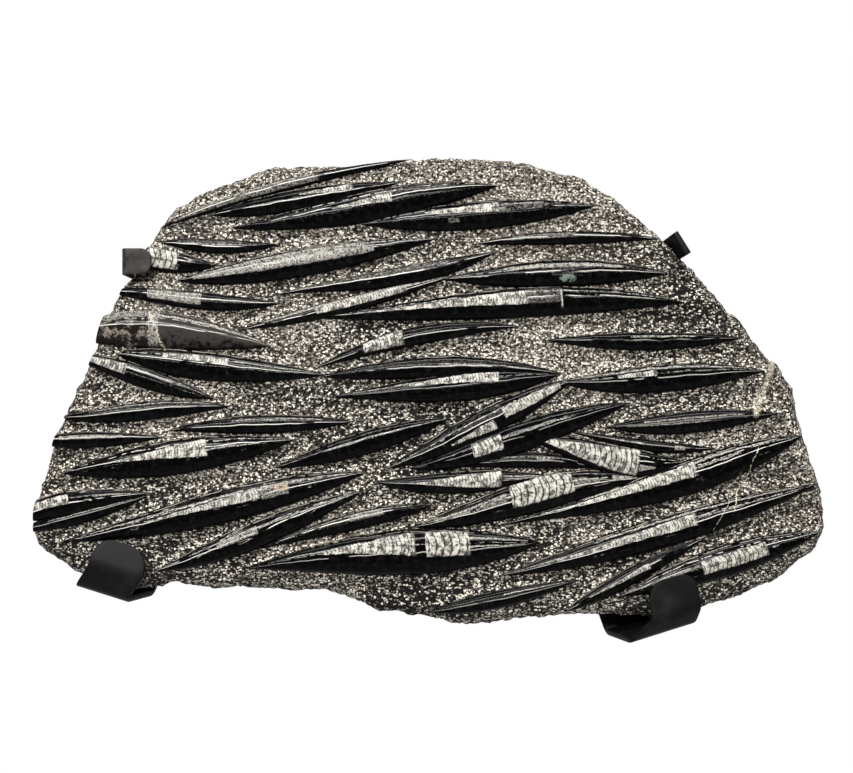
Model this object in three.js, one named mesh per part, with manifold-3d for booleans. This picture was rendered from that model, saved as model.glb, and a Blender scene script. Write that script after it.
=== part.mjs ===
// A slab of dark limestone full of orthoceras shells, held by a bent-steel wall bracket.
// Millimetres, +Z up. The stone faces -Y and the wall is the plane y = 0.
import * as THREE from "three";
import { ConvexGeometry } from "three/addons/geometries/ConvexGeometry.js";
import { mergeVertices } from "three/addons/utils/BufferGeometryUtils.js";
import Module from "manifold-3d";

// ---- driving dimensions -------------------------------------------------------------------
const FIT = 0.3; // clearance left between pieces that touch

const BAR_THICK = 5; // wall bar and hooks: 40 x 5 flat bar
const BAR_WIDTH = 40;
const CLIP_THICK = 4; // upper clips: 19 x 4 flat bar
const CLIP_WIDTH = 19;

const BAR_HALF_LENGTH = 215;
const WALL_HOLE_X = 140; // the two screw holes in the wall bar
const WALL_HOLE_R = 3.5;

// Depths, all measured as y. The bars stack up from the wall and the stone leans on the uprights.
const UPRIGHT_BACK = -(BAR_THICK + FIT);
const UPRIGHT_FRONT = UPRIGHT_BACK - BAR_THICK;
const STONE_BACK = UPRIGHT_FRONT - FIT;
const STONE_FRONT = -47;
const EDGE_BREAK = 3; // worn bevel round the stone's front and back edges
const CLIP_BACK = -1; // the clips' arms lie beside the wall bar, clear of the wall

// ---- the stone's outline, clockwise from its left end, as [x, z] ---------------------------
const OUTLINE = [
  [-259, 24], [-252, 41], [-250, 50], [-243, 64], [-232, 87], [-225, 93], [-222, 100], [-213, 116],
  [-205, 128], [-195, 143], [-178, 154], [-150, 165], [-125, 175], [-95, 177.5], [-60, 176],
  [-15, 181.5], [5, 183], [45, 183.5], [78, 178], [112, 169], [138, 155], [155, 140], [172, 125],
  [186, 111], [200, 98], [214, 80], [235, 60], [252, 36], [266, 23], [275, 8], [280, -15],
  [288, -42], [297, -70], [300, -96], [292, -112], [277, -124], [262, -137], [229, -150],
  [203, -158], [195, -161.8], [176, -168], [168, -164], [127, -162], [97, -163], [67, -165],
  [37, -170], [22, -169.5], [0, -164], [-37, -160], [-60, -150], [-80, -144], [-100, -145],
  [-140, -141], [-167, -142], [-195, -138], [-210, -141], [-222, -143], [-230.4, -144.7],
  [-259, -135.7], [-266, -131], [-284, -120], [-297, -109], [-300, -97], [-298, -82], [-289, -47],
  [-281, -23], [-268, 8],
];

// ---- the shells ----------------------------------------------------------------------------
// Each shell is a long spindle lying in the face. A row gives its two points [x, z], then how far its
// upper and lower sides stand off the line between them and where along it they stand off most.
const SHELLS = [
  [[-203, 129], [-12, 181], 11, 0.45, -2, 0.5],
  [[-165, 139], [-22, 164], 7.6, 0.45, 8.2, 0.45],
  [[-150, 130], [51, 161], 11.5, 0.62, 12.4, 0.48],
  [[-52, 132], [125, 146], 10.5, 0.5, 11, 0.5],
  [[-203, 119], [-113, 117], 3, 0.4, 8, 0.5],
  [[-245, 108], [-160, 102], 9.5, 0.35, 9, 0.6],
  [[-190, 90], [4, 121], 9.3, 0.52, 12.4, 0.44],
  [[-245, 81], [-112, 73], 5.4, 0.35, 8.9, 0.6],
  [[-268, 45], [-119, 40], 24.5, 0.37, 4.5, 0.5],
  [[-118, 79], [50, 112], 2.6, 0.5, 12.3, 0.62],
  [[33, 117], [174, 121], 8, 0.48, 2, 0.5],
  [[9, 91], [180, 95], 12.6, 0.54, 8.5, 0.48],
  [[-142, 53], [18, 94], 4, 0.45, 8, 0.5],
  [[-95, 62], [192, 73], 16.5, 0.62, 6.6, 0.5],
  [[-235, 35], [-78, 19], 8.5, 0.38, 13.6, 0.42],
  [[-275, 34], [-162, 1], 9.6, 0.45, 7.6, 0.6],
  [[-277, -12], [-150, -5], 7.8, 0.58, 7.2, 0.36],
  [[-298, -31], [-200, -28], 5.8, 0.4, 6.2, 0.4],
  [[-197, -23], [-57, -16], 8.6, 0.48, 6, 0.58],
  [[-278, -55], [-102, -30], 13.3, 0.52, 13.5, 0.5],
  [[-85, 24], [68, 55], 16, 0.5, -2, 0.5],
  [[-82, 18], [98, 20], 14.2, 0.52, 3, 0.3],
  [[-80, 2], [97, 19], 9.5, 0.62, 12.8, 0.6],
  [[97, 14], [252, 22], 8.9, 0.55, 12.4, 0.45],
  [[86, 45], [236, 47], 5, 0.5, 8.8, 0.52],
  [[-118, -51], [15, -14], 8.8, 0.55, 9.3, 0.5],
  [[-35, -52], [108, 16], 10, 0.6, 12.5, 0.5],
  [[-15, -51], [150, -2], 10.3, 0.58, 13, 0.42],
  [[5, -50], [126, -51], 11, 0.6, 0.5, 0.5],
  [[70, -28], [192, -46], 6, 0.4, 18.5, 0.62],
  [[100, -23], [215, -36], 0.5, 0.4, 8.6, 0.6],
  [[134, -20], [262, -10], 7, 0.5, 9.9, 0.45],
  [[44, -96], [279, -27], 7.3, 0.72, 19, 0.56],
  [[-318, -92], [-210, -70], 14, 0.4, 4, 0.4],
  [[-318, -100], [-212, -72], 4, 0.5, 7.6, 0.5],
  [[-280, -107], [-47, -54], 11.5, 0.6, 13.7, 0.52],
  [[-206, -128], [-50, -68], 8, 0.55, 12, 0.45],
  [[-137, -114], [3, -79], 10, 0.6, 4, 0.65],
  [[-140, -127], [83, -107], 18.8, 0.53, 15.8, 0.62],
  [[-42, -61], [88, -57], 6, 0.6, 11.5, 0.47],
  [[-14, -95], [162, -58.5], 17.8, 0.6, 9.2, 0.42],
  [[52, -132], [291, -63], 9.2, 0.56, 14.3, 0.5],
  [[103, -158], [208, -103], 7.2, 0.48, 6.2, 0.4],
  [[140, -149], [293, -99], 13, 0.52, 10.8, 0.56],
  [[0, -159], [111, -135], 5, 0.42, 8.6, 0.45],
];
const SHELL_STATIONS = [0.04, 0.14, 0.3, 0.5, 0.7, 0.86, 0.96]; // where its cross-sections lie
const SHELL_ROOT = 2; // how deep its flat underside lies in the rock
const SHELL_RISE = 0.36; // height above the rock as a share of its full width
const SHELL_MAX_RISE = 8.5;
const SHELL_SHOULDER = 0.25; // how far its flat crest lies in from each side, as a share of its width

// ---- the bracket ---------------------------------------------------------------------------
// A lower hook is a flat bar folded along lines that run `tilt` degrees from level. A station is one
// fold or end on the bar's outer face: [how far it lies out of the stone, its depth y, and where the
// bar's left and right sides cross it], all measured from the seat.
const HOOKS = {
  lower_left_hook: {
    seat: [-238, -136],
    tilt: -17.5,
    lipTip: [-31, -56, -19, 19],
    crease: [-9, -61, -18.5, 23],
    nose: [11.5, -55, -25, 15],
    heel: [11.5, UPRIGHT_BACK, -16, 24],
    lean: 20,
    top: 118,
    lipCorner: 14,
  },
  lower_right_hook: {
    seat: [172, -162],
    tilt: 17.5,
    lipTip: [-27, -62, -3.5, 33.5],
    crease: [0, -64, -7, 30],
    nose: [12.2, -57, -26.5, 22.5],
    heel: [12.2, UPRIGHT_BACK, -38, 2],
    lean: -20,
    top: 72,
    lipCorner: 13,
  },
};
const LEFT_CLIP = { z: 103, far: -229.6, near: -122, lipEnd: -207.6, front: -59, corner: 7 };
const RIGHT_CLIP = { reach: [188.7, 117.4], rise: 32, length: 155, front: -60 };
const BOLT_PITCH = 22; // between the two bolts of a joint
const BOLT = { shankR: 3, headR: 6, headDepth: 2.5, end: -1.2 };
const ROUND_SIDES = 16; // sides of every bolt and bore
const CORNER_STEPS = 6; // flats in a rounded corner
const OVERCUT = 1; // how far a cutting tool runs past the face it opens

// ---- helpers -------------------------------------------------------------------------------
const wasm = await Module();
wasm.setup();
const rad = THREE.MathUtils.degToRad;
const tanDeg = (degrees) => Math.tan(rad(degrees));

function solidOf(geometry) {
  const bare = geometry.clone();
  bare.deleteAttribute("normal");
  bare.deleteAttribute("uv");
  const merged = mergeVertices(bare, 1e-4);
  const triVerts = new Uint32Array(merged.index.array);
  const vertProperties = new Float32Array(merged.attributes.position.array);
  return new wasm.Manifold(new wasm.Mesh({ numProp: 3, vertProperties, triVerts }));
}

function geometryOf(solid) {
  const { vertProperties, triVerts } = solid.getMesh();
  const geometry = new THREE.BufferGeometry();
  geometry.setAttribute("position", new THREE.BufferAttribute(vertProperties, 3));
  geometry.setIndex(new THREE.BufferAttribute(triVerts, 1));
  const flat = geometry.toNonIndexed();
  flat.computeVertexNormals();
  return flat;
}

// A flat outline in the wall's plane, given as [x, z] points, made a plate between two depths.
function plate(points, back, front, bevel = 0) {
  const shape = new THREE.Shape(points.map(([x, z]) => new THREE.Vector2(x, z)));
  const geometry = new THREE.ExtrudeGeometry(shape, {
    depth: back - front - 2 * bevel,
    bevelEnabled: bevel > 0,
    bevelThickness: bevel,
    bevelSize: bevel,
    bevelOffset: -bevel,
    bevelSegments: 1,
  });
  return solidOf(geometry.rotateX(Math.PI / 2).translate(0, back - bevel, 0));
}

// A solid turned about a line square to the wall, from [radius, y] points that run out from the wall.
function turned(points, [x, z]) {
  const profile = points.map(([radius, y]) => new THREE.Vector2(radius, y)).reverse();
  return solidOf(new THREE.LatheGeometry(profile, ROUND_SIDES).translate(x, 0, z));
}

// What rounding a corner cuts away: the square at `corner` less its quarter circle. The two edges
// leave the corner along the unit directions `a` and `b`.
function cornerWaste([x, z], a, b, r, back, front) {
  const at = (p, q) => [x + p * a[0] + q * b[0], z + p * a[1] + q * b[1]];
  const points = [at(-OVERCUT, -OVERCUT), at(r, -OVERCUT)];
  for (let i = 0; i <= CORNER_STEPS; i++) {
    const turn = (i / CORNER_STEPS) * (Math.PI / 2);
    points.push(at(r - r * Math.sin(turn), r - r * Math.cos(turn)));
  }
  points.push(at(-OVERCUT, r));
  return plate(points, back, front);
}

// ---- the stone -----------------------------------------------------------------------------
// How far one side of a shell stands off its axis: nothing at the points, most at `peak`.
const swell = (t, peak) => Math.sin(Math.PI * t ** (Math.log(0.5) / Math.log(peak)));

function shellSolid([[x0, z0], [x1, z1], upper, upperPeak, lower, lowerPeak]) {
  const axis = new THREE.Vector2(x1 - x0, z1 - z0);
  const length = axis.length();
  axis.normalize();
  const place = (along, across, y) =>
    new THREE.Vector3(x0 + along * axis.x - across * axis.y, y, z0 + along * axis.y + across * axis.x);
  const root = STONE_FRONT + SHELL_ROOT;
  const rise = Math.min(SHELL_MAX_RISE, SHELL_RISE * (upper + lower));
  const points = [place(0, 0, root), place(length, 0, root)];
  for (const t of SHELL_STATIONS) {
    const top = upper * swell(t, upperPeak);
    const bottom = -lower * swell(t, lowerPeak);
    const crest = STONE_FRONT - rise * Math.sin(Math.PI * t);
    const along = t * length;
    const inset = SHELL_SHOULDER * (top - bottom);
    points.push(place(along, top, root), place(along, bottom, root));
    points.push(place(along, top - inset, crest), place(along, bottom + inset, crest));
  }
  return solidOf(new ConvexGeometry(points));
}

function stone() {
  const outline = [...OUTLINE].reverse();
  const block = plate(outline, STONE_BACK, STONE_FRONT, EDGE_BREAK);
  const column = plate(outline, STONE_FRONT + 2 * SHELL_ROOT, STONE_FRONT - 2 * SHELL_MAX_RISE);
  const shells = SHELLS.map(shellSolid).reduce((all, shell) => all.add(shell));
  return block.add(shells.intersect(column));
}

// ---- the lower hooks -----------------------------------------------------------------------
// The bar's outer face runs through the stations, and its inner face lies one thickness inside.
function innerFace(outer) {
  const last = outer.length - 1;
  const direction = (i) => outer[i + 1].clone().sub(outer[i]).normalize();
  return outer.map((point, i) => {
    const arriving = direction(Math.max(i - 1, 0));
    const leaving = direction(Math.min(i, last - 1));
    const into = new THREE.Vector2(-arriving.y - leaving.y, arriving.x + leaving.x).normalize();
    const squareness = into.x * -arriving.y + into.y * arriving.x;
    return point.clone().addScaledVector(into, BAR_THICK / squareness);
  });
}

function hook({ seat, tilt, lipTip, crease, nose, heel, lean, top, lipCorner }) {
  const across = [Math.cos(rad(tilt)), Math.sin(rad(tilt))];
  const down = [across[1], -across[0]];
  const world = (out, side) => [
    seat[0] + side * across[0] + out * down[0],
    seat[1] + side * across[1] + out * down[1],
  ];
  const measure = ([x, z], axis) => (x - seat[0]) * axis[0] + (z - seat[1]) * axis[1];

  // The upright leaves the heel and leans until it is `top` high.
  const foot = world(heel[0], (heel[2] + heel[3]) / 2);
  const centreAt = (z) => [foot[0] + (z - foot[1]) * tanDeg(lean), z];
  const head = centreAt(top);
  const headSide = measure(head, across);
  const half = BAR_WIDTH / 2;
  const headStation = [measure(head, down), UPRIGHT_BACK, headSide - half, headSide + half];

  const stations = [lipTip, crease, nose, heel, headStation];
  const outer = stations.map(([out, y]) => new THREE.Vector2(out, y));
  const inner = innerFace(outer);
  const profile = [...outer, ...[...inner].reverse()];
  const sides = [...stations, ...[...stations].reverse()].map((station) => station.slice(2));

  // The folded profile is extruded by 1 and each of its points then stretched to its own two sides.
  const folded = new THREE.Shape(profile);
  const geometry = new THREE.ExtrudeGeometry(folded, { depth: 1, bevelEnabled: false });
  const position = geometry.attributes.position;
  for (let i = 0; i < position.count; i++) {
    const here = new THREE.Vector2(position.getX(i), position.getY(i));
    const gaps = profile.map((point) => point.distanceTo(here));
    const [left, right] = sides[gaps.indexOf(Math.min(...gaps))];
    const [x, z] = world(here.x, THREE.MathUtils.lerp(left, right, position.getZ(i)));
    position.setXYZ(i, x, here.y, z);
  }

  // Round the two corners of the lip's free end.
  const depths = [lipTip[1] + 2 * BAR_THICK, crease[1] - BAR_THICK];
  const back = across.map((part) => -part);
  const left = cornerWaste(world(lipTip[0], lipTip[2]), across, down, lipCorner, ...depths);
  const right = cornerWaste(world(lipTip[0], lipTip[3]), down, back, lipCorner, ...depths);
  return { solid: solidOf(geometry).subtract(left).subtract(right), centreAt };
}

// ---- the upper clips -----------------------------------------------------------------------
const CLIP_FRONT = CLIP_BACK - CLIP_THICK;

// A clip's side view, as [distance from its prong's outer face, y], made a bar as wide as the clip.
function clipBar(profile) {
  const shape = new THREE.Shape(profile.map(([x, y]) => new THREE.Vector2(x, y)));
  const geometry = new THREE.ExtrudeGeometry(shape, { depth: CLIP_WIDTH, bevelEnabled: false });
  return geometry.translate(0, 0, -CLIP_WIDTH / 2);
}

function leftClip({ z, far, near, lipEnd, front, corner }) {
  const inside = far + CLIP_THICK;
  const lipInside = front + CLIP_THICK;
  const geometry = clipBar([
    [near, CLIP_BACK], [far, CLIP_BACK], [far, front], [lipEnd, front],
    [lipEnd, lipInside], [inside, lipInside], [inside, CLIP_FRONT], [near, CLIP_FRONT],
  ]);
  const solid = solidOf(geometry.translate(0, 0, z));
  const [low, high] = [z - CLIP_WIDTH / 2, z + CLIP_WIDTH / 2];
  const depths = [lipInside + OVERCUT, front - OVERCUT];
  return solid
    .subtract(cornerWaste([lipEnd, high], [-1, 0], [0, -1], corner, ...depths))
    .subtract(cornerWaste([lipEnd, low], [0, 1], [-1, 0], corner, ...depths));
}

function rightClip({ reach, rise, length, front }) {
  const geometry = clipBar([
    [0, CLIP_BACK], [-length, CLIP_BACK], [-length, CLIP_FRONT],
    [-CLIP_THICK, CLIP_FRONT], [-CLIP_THICK, front], [0, front],
  ]);
  return solidOf(geometry.rotateY(-rad(rise)).translate(reach[0], 0, reach[1]));
}

// ---- bolts ---------------------------------------------------------------------------------
// A countersunk bolt lies flush in an upright, and its shank runs back through the bar behind it.
const { shankR, headR, headDepth, end } = BOLT;

function boltSolid(place) {
  const neck = UPRIGHT_FRONT + headDepth;
  const face = UPRIGHT_FRONT;
  return turned([[0, end], [shankR, end], [shankR, neck], [headR, face], [0, face]], place);
}

function boltHole(place) {
  const [r, head] = [shankR + FIT, headR + FIT];
  const neck = UPRIGHT_FRONT + headDepth;
  const mouth = UPRIGHT_FRONT - OVERCUT;
  return turned(
    [[0, OVERCUT], [r, OVERCUT], [r, neck], [head, UPRIGHT_FRONT], [head, mouth], [0, mouth]],
    place,
  );
}

// ---- assembly ------------------------------------------------------------------------------
const leftHook = hook(HOOKS.lower_left_hook);
const rightHook = hook(HOOKS.lower_right_hook);

// Where the right clip's arm, which runs in from its prong, crosses the right upright.
const armAt = (s) => [
  RIGHT_CLIP.reach[0] - s * Math.cos(rad(RIGHT_CLIP.rise)),
  RIGHT_CLIP.reach[1] - s * Math.sin(rad(RIGHT_CLIP.rise)),
];
const [uprightAtReach] = rightHook.centreAt(RIGHT_CLIP.reach[1]);
const closing =
  Math.cos(rad(RIGHT_CLIP.rise)) - Math.sin(rad(RIGHT_CLIP.rise)) * tanDeg(HOOKS.lower_right_hook.lean);
const crossing = (RIGHT_CLIP.reach[0] - uprightAtReach) / closing;

// A joint's pair of bolts: where they lie, the upright they clamp and the bar behind it.
const half = BOLT_PITCH / 2;
const [leftClipX] = leftHook.centreAt(LEFT_CLIP.z);
const [LEFT, RIGHT] = ["lower_left_hook", "lower_right_hook"];
const BOLTS = {
  left_bar_bolt_upper: { at: leftHook.centreAt(half), upright: LEFT, bar: "wall_bar" },
  left_bar_bolt_lower: { at: leftHook.centreAt(-half), upright: LEFT, bar: "wall_bar" },
  right_bar_bolt_upper: { at: rightHook.centreAt(half), upright: RIGHT, bar: "wall_bar" },
  right_bar_bolt_lower: { at: rightHook.centreAt(-half), upright: RIGHT, bar: "wall_bar" },
  left_clip_bolt_outer: { at: [leftClipX - half, LEFT_CLIP.z], upright: LEFT, bar: "upper_left_clip" },
  left_clip_bolt_inner: { at: [leftClipX + half, LEFT_CLIP.z], upright: LEFT, bar: "upper_left_clip" },
  right_clip_bolt_outer: { at: armAt(crossing - half), upright: RIGHT, bar: "upper_right_clip" },
  right_clip_bolt_inner: { at: armAt(crossing + half), upright: RIGHT, bar: "upper_right_clip" },
};

function wallBar() {
  const [x, z] = [BAR_HALF_LENGTH, BAR_WIDTH / 2];
  const bar = plate([[-x, -z], [x, -z], [x, z], [-x, z]], 0, -BAR_THICK);
  const [behind, ahead] = [OVERCUT, -BAR_THICK - OVERCUT];
  const bore = [[0, behind], [WALL_HOLE_R, behind], [WALL_HOLE_R, ahead], [0, ahead]];
  return bar.subtract(turned(bore, [-WALL_HOLE_X, 0])).subtract(turned(bore, [WALL_HOLE_X, 0]));
}

const steel = {
  wall_bar: wallBar(),
  lower_left_hook: leftHook.solid,
  lower_right_hook: rightHook.solid,
  upper_left_clip: leftClip(LEFT_CLIP),
  upper_right_clip: rightClip(RIGHT_CLIP),
};
for (const { at, upright, bar } of Object.values(BOLTS)) {
  steel[upright] = steel[upright].subtract(boltHole(at));
  steel[bar] = steel[bar].subtract(boltHole(at));
}

const limestone = new THREE.MeshStandardMaterial({ color: 0x3a3835, roughness: 0.6, metalness: 0 });
const blackSteel = new THREE.MeshStandardMaterial({ color: 0x1d1e20, roughness: 0.5, metalness: 0.3 });
const zincBolt = new THREE.MeshStandardMaterial({ color: 0x2c2d2f, roughness: 0.4, metalness: 0.8 });

const plaque = new THREE.Group();
function add(name, solid, material) {
  const mesh = new THREE.Mesh(geometryOf(solid), material);
  mesh.name = name;
  plaque.add(mesh);
}
add("fossil_slab", stone(), limestone);
for (const [name, solid] of Object.entries(steel)) add(name, solid, blackSteel);
for (const [name, { at }] of Object.entries(BOLTS)) add(name, boltSolid(at), zincBolt);

export default plaque;
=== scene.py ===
# %% [markdown]
# # An orthoceras plaque on a steel wall bracket
# The plaque is one slab of dark limestone. Some forty-five straight shells lie in it, and a carver
# has pecked the rock away round each one and polished the shell, so that the shells stand proud and
# black over a rough, speckled ground. Four straps of black flat bar hold the stone to a wall bracket.
#
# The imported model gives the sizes, so the lesson starts by loading it. Everything made below lies in
# its frame: metres, with the wall at y = 0, the stone facing -Y and Z up.

# %% Load the frame
import math

import bmesh
import bpy
import numpy as np
from mathutils import Matrix, Vector, noise


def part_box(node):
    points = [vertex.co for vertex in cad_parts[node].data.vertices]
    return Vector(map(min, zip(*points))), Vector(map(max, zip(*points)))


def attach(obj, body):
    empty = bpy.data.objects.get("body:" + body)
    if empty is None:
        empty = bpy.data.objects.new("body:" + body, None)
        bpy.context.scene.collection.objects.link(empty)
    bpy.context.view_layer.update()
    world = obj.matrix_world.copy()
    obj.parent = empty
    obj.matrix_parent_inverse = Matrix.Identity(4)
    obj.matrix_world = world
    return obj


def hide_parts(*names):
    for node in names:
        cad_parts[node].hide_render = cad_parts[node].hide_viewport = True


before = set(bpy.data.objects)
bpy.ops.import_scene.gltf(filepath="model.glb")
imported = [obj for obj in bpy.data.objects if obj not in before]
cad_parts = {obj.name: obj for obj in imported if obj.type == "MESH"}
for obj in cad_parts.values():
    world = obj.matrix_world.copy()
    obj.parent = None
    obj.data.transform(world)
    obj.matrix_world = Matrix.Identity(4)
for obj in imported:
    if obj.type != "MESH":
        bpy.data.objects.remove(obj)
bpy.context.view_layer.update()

MM = 0.001
stone_low, stone_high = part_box("fossil_slab")
print("Stone in mm:", [round(v / MM) for v in (*stone_low, *stone_high)])

# %% [markdown]
# ## Camera and light
# The plaque is seen square on from a little over arm's length. A long, narrow lamp hangs above and in
# front of it, as in a gallery: it draws a bright line along the upper side of each polished shell and
# leaves the lower side black. A second one fills in from the front, and a third lights the back.
# All three are soft. This could be done with one big lamp, but its reflection would veil the black.

# %% Camera
EYE = Vector((0, -850, -11)) * MM
camera = bpy.data.objects.new("camera", bpy.data.cameras.new("camera"))
camera.location = EYE
camera.rotation_euler = (math.radians(90), 0, 0)
camera.data.lens = 45
camera.data.shift_x = -0.004
camera.data.shift_y = 0.033
bpy.context.scene.collection.objects.link(camera)
bpy.context.scene.camera = camera
bpy.context.scene.view_settings.view_transform = "Standard"
print("The eye is", round(-EYE.y, 2), "m from the wall")


# %% Lamps
def soft_lamp(name, place, target, size, watts, spread=180):
    """A rectangular lamp that hangs at place and faces target, both in metres."""
    lamp = bpy.data.objects.new(name, bpy.data.lights.new(name, "AREA"))
    lamp.data.shape = "RECTANGLE"
    lamp.data.size, lamp.data.size_y = size
    lamp.data.energy = watts
    lamp.data.spread = math.radians(spread)
    lamp.location = place
    lamp.rotation_euler = (Vector(target) - Vector(place)).to_track_quat("-Z", "Y").to_euler()
    bpy.context.scene.collection.objects.link(lamp)


soft_lamp("overhead_lamp", (0.05, -1.05, 1.45), (0, -0.05, -0.05), (2.0, 0.16), 11, 70)
soft_lamp("front_fill", (-0.4, -1.7, 0.7), (0, 0, -0.05), (1.5, 0.14), 6.5, 60)
soft_lamp("rear_fill", (0.6, 1.6, 1.2), (0, 0, 0), (1.2, 1.2), 34)

# %% [markdown]
# ## Surroundings
# The background is white to the eye. Polished stone mirrors whatever stands in front of it, and black
# polish needs something dark to mirror, so every ray but the camera's sees a dim room instead, a
# little lighter towards its ceiling.

# %% Surroundings
world = bpy.data.worlds.new("studio")
bpy.context.scene.world = world
world.use_nodes = True
air = world.node_tree
air.nodes.clear()
seen = air.nodes.new("ShaderNodeBackground")
seen.inputs["Color"].default_value = (1, 1, 1, 1)
reflected = air.nodes.new("ShaderNodeBackground")
direction = air.nodes.new("ShaderNodeTexCoord")
split = air.nodes.new("ShaderNodeSeparateXYZ")
height = air.nodes.new("ShaderNodeValToRGB")
height.color_ramp.elements[0].position = 0.05
height.color_ramp.elements[0].color = (0.012, 0.012, 0.013, 1)
height.color_ramp.elements[1].position = 0.9
height.color_ramp.elements[1].color = (0.1, 0.1, 0.1, 1)
looking = air.nodes.new("ShaderNodeLightPath")
choose = air.nodes.new("ShaderNodeMixShader")
out = air.nodes.new("ShaderNodeOutputWorld")
air.links.new(direction.outputs["Generated"], split.inputs["Vector"])
air.links.new(split.outputs["Z"], height.inputs["Fac"])
air.links.new(height.outputs["Color"], reflected.inputs["Color"])
air.links.new(looking.outputs["Is Camera Ray"], choose.inputs["Fac"])
air.links.new(reflected.outputs["Background"], choose.inputs[1])
air.links.new(seen.outputs["Background"], choose.inputs[2])
air.links.new(choose.outputs["Shader"], out.inputs["Surface"])
print("World nodes:", len(air.nodes))

# %% [markdown]
# ## Helpers for materials
# Every finish here is a small graph of nodes. A few helpers keep the graphs short: `node` adds a node
# and plugs in what it needs, `plus`, `minus` and `times` are its arithmetic, `step` turns a number
# into a soft mask, and `blend` lays one colour over another through a mask.


# %% Node helpers
class Finish:
    """A material being built. Each call adds a node and returns it or its first output."""

    def __init__(self, name):
        self.material = bpy.data.materials.new(name)
        self.material.use_nodes = True
        self.tree = self.material.node_tree
        self.tree.nodes.clear()
        self.shader = self.node("ShaderNodeBsdfPrincipled")
        surface = self.node("ShaderNodeOutputMaterial")
        self.tree.links.new(self.shader.outputs["BSDF"], surface.inputs["Surface"])

    def node(self, kind, inputs=None, **settings):
        made = self.tree.nodes.new(kind)
        for name, value in settings.items():
            setattr(made, name, value)
        for name, value in (inputs or {}).items():
            self.plug(made.inputs[name], value)
        return made

    def plug(self, socket, value):
        if isinstance(value, bpy.types.NodeSocket):
            self.tree.links.new(value, socket)
        else:
            socket.default_value = value

    def maths(self, operation, *values, clamp=False):
        made = self.node("ShaderNodeMath", operation=operation, use_clamp=clamp)
        for socket, value in zip(made.inputs, values):
            self.plug(socket, value)
        return made.outputs[0]

    def plus(self, first, *others):
        for value in others:
            first = self.maths("ADD", first, value)
        return first

    def times(self, first, *others):
        for value in others:
            first = self.maths("MULTIPLY", first, value)
        return first

    def minus(self, value, less):
        return self.maths("SUBTRACT", value, less)

    def off(self, value, middle):
        """How far a value lies from the middle, either way."""
        return self.maths("ABSOLUTE", self.minus(value, middle))

    def step(self, value, low, high):
        """0 below low and 1 above high, smooth between. With low above high it falls."""
        flip = isinstance(low, (int, float)) and isinstance(high, (int, float)) and low > high
        made = self.node("ShaderNodeMapRange", interpolation_type="SMOOTHSTEP")
        self.plug(made.inputs["Value"], value)
        self.plug(made.inputs["From Min"], high if flip else low)
        self.plug(made.inputs["From Max"], low if flip else high)
        made.inputs["To Min"].default_value = 1.0 if flip else 0.0
        made.inputs["To Max"].default_value = 0.0 if flip else 1.0
        return made.outputs["Result"]

    def near(self, place, spot, reach, flat=1.0):
        """1 at a spot (x, z in mm) on the face and 0 from reach mm away. It is wider when flat."""
        parts = self.parts(place)
        east = self.minus(parts["X"], spot[0] * MM)
        north = self.times(self.minus(parts["Z"], spot[1] * MM), flat)
        away = self.maths("SQRT", self.plus(self.times(east, east), self.times(north, north)))
        return self.step(away, reach * MM, 0.0)

    def noise(self, vector, scale, detail=2.0, roughness=0.5):
        made = self.node("ShaderNodeTexNoise")
        self.plug(made.inputs["Vector"], vector)
        made.inputs["Scale"].default_value = scale
        made.inputs["Detail"].default_value = detail
        made.inputs["Roughness"].default_value = roughness
        return made.outputs["Fac"]

    def blend(self, factor, under, over):
        made = self.node("ShaderNodeMix", data_type="RGBA")
        self.plug(made.inputs["Factor"], factor)
        self.plug(made.inputs["A"], under)
        self.plug(made.inputs["B"], over)
        return made.outputs["Result"]

    def place(self):
        """The place on the object, in metres."""
        return self.node("ShaderNodeTexCoord").outputs["Object"]

    def attribute(self, name, output="Vector"):
        return self.node("ShaderNodeAttribute", attribute_name=name).outputs[output]

    def parts(self, vector):
        return self.node("ShaderNodeSeparateXYZ", {"Vector": vector}).outputs

    def bump(self, height, millimetres, strength=1.0):
        made = self.node("ShaderNodeBump", {"Height": height})
        made.inputs["Distance"].default_value = millimetres * MM
        made.inputs["Strength"].default_value = strength
        self.plug(self.shader.inputs["Normal"], made.outputs["Normal"])


print("Node helpers ready")

# %% [markdown]
# ## The shells
# Each shell is a long spindle: it swells from one needle point and narrows to the other, more to one
# side than the other. A table holds, for each one, its two points on the face of the stone, in
# millimetres, and how far and where it swells on its upper and its lower side.
#
# The white marks are calcite. A `cone` is a run of chambers, cut through so that its thin walls show
# as ribs; a `band` is a plain streak or patch. A mark says where it starts and ends along the shell
# (0 to 1), how high it lies across the shell (-1 at the lower edge, 1 at the upper) and its half
# widths at both ends. A band ends with its whiteness. `lines` is how thickly the shell is streaked,
# and `brown` is how much of its black has weathered to brown. A table is the plainest way to place
# so many shells, because each was laid down and carved differently.

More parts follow.
